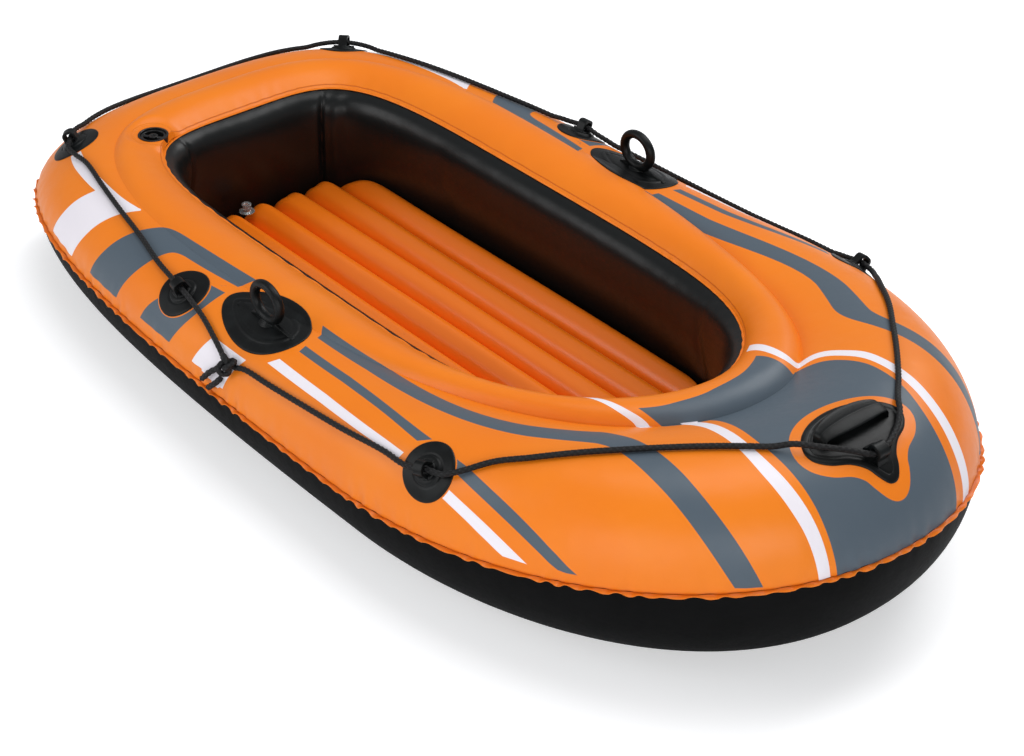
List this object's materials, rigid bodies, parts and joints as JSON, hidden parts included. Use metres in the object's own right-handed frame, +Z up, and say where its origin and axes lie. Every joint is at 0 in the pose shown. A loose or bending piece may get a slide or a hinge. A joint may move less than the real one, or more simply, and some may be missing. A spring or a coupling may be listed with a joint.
{
  "type": "inflatable boat",
  "caption": "Small oval inflatable boat: outer air chamber with a raised inner rim, ribbed air-mat floor, oarlocks, air valve, bow handle and a grab rope round the hull.",
  "frame": {"origin": "on the ground under the middle of the boat's bounding box", "axes": "+X towards the bow, +Y to port, +Z up"},
  "size_m": [1.5465, 0.8164, 0.3059],
  "materials": {
    "orange_vinyl": "satin welded vinyl sheet",
    "black_vinyl": "glossy welded vinyl sheet",
    "floor_vinyl": "satin vinyl air mat",
    "clear_plastic": "clear soft plastic",
    "black_plastic": "moulded plastic",
    "seal_rubber": "soft rubber",
    "moulded_vinyl": "satin moulded soft vinyl",
    "braided_rope": "braided cord"
  },
  "bodies": {
    "hull": {"main_chamber_skin": "orange_vinyl", "rim_chamber_skin": "orange_vinyl", "cockpit_wall": "black_vinyl", "lower_side_skin": "black_vinyl", "bottom_panel": "black_vinyl", "chamber_baffle": "black_vinyl", "seam_flange": "orange_vinyl", "cockpit_weld": "orange_vinyl", "floor_mat": "floor_vinyl", "floor_valve": "clear_plastic", "valve_base": "black_plastic", "oarlock_patch_port": "moulded_vinyl", "oarlock_patch_starboard": "moulded_vinyl", "oarlock_ring_port": "moulded_vinyl", "oarlock_ring_starboard": "moulded_vinyl", "bow_patch": "moulded_vinyl", "bow_handle": "moulded_vinyl", "bow_rope_eye": "moulded_vinyl", "grab_rope": "braided_rope", "rope_knot": "braided_rope", "rope_tail_upper": "braided_rope", "rope_tail_lower": "braided_rope", "rope_holder_stern_port": "moulded_vinyl", "rope_holder_stern_starboard": "moulded_vinyl", "rope_holder_rear_port": "moulded_vinyl", "rope_holder_rear_starboard": "moulded_vinyl", "rope_holder_front_port": "moulded_vinyl", "rope_holder_front_starboard": "moulded_vinyl"},
    "valve_seal_lift": {"valve_seal": "seal_rubber"},
    "valve_insert_turn": {"valve_insert": "black_plastic"},
    "valve_flap": {"valve_diaphragm": "seal_rubber"},
    "floor_plug": {"floor_valve_plug": "clear_plastic"}
  },
  "joints": [
    {"name": "valve_lift", "type": "slide", "parent": "hull", "child": "valve_seal_lift", "axis": [0, 0, 1], "range_m": [0, 0.0062]},
    {"name": "valve_turn", "type": "hinge", "parent": "valve_seal_lift", "child": "valve_insert_turn", "pos_m": [-0.578, -0.156, 0.22], "axis": [0, 0, 1], "range_deg": [0, 720]},
    {"name": "flap_drop", "type": "slide", "parent": "hull", "child": "valve_flap", "axis": [0, 0, -1], "range_m": [0, 0.0034], "stiffness_N_per_m": 60, "springref_m": -0.0005},
    {"name": "plug_pull", "type": "slide", "parent": "hull", "child": "floor_plug", "axis": [0, 0, 1], "range_m": [0, 0.012]}
  ],
  "couplings": [
    {"joint": "valve_lift", "follows": "valve_turn", "m_per_rad": 0.000477}
  ]
}
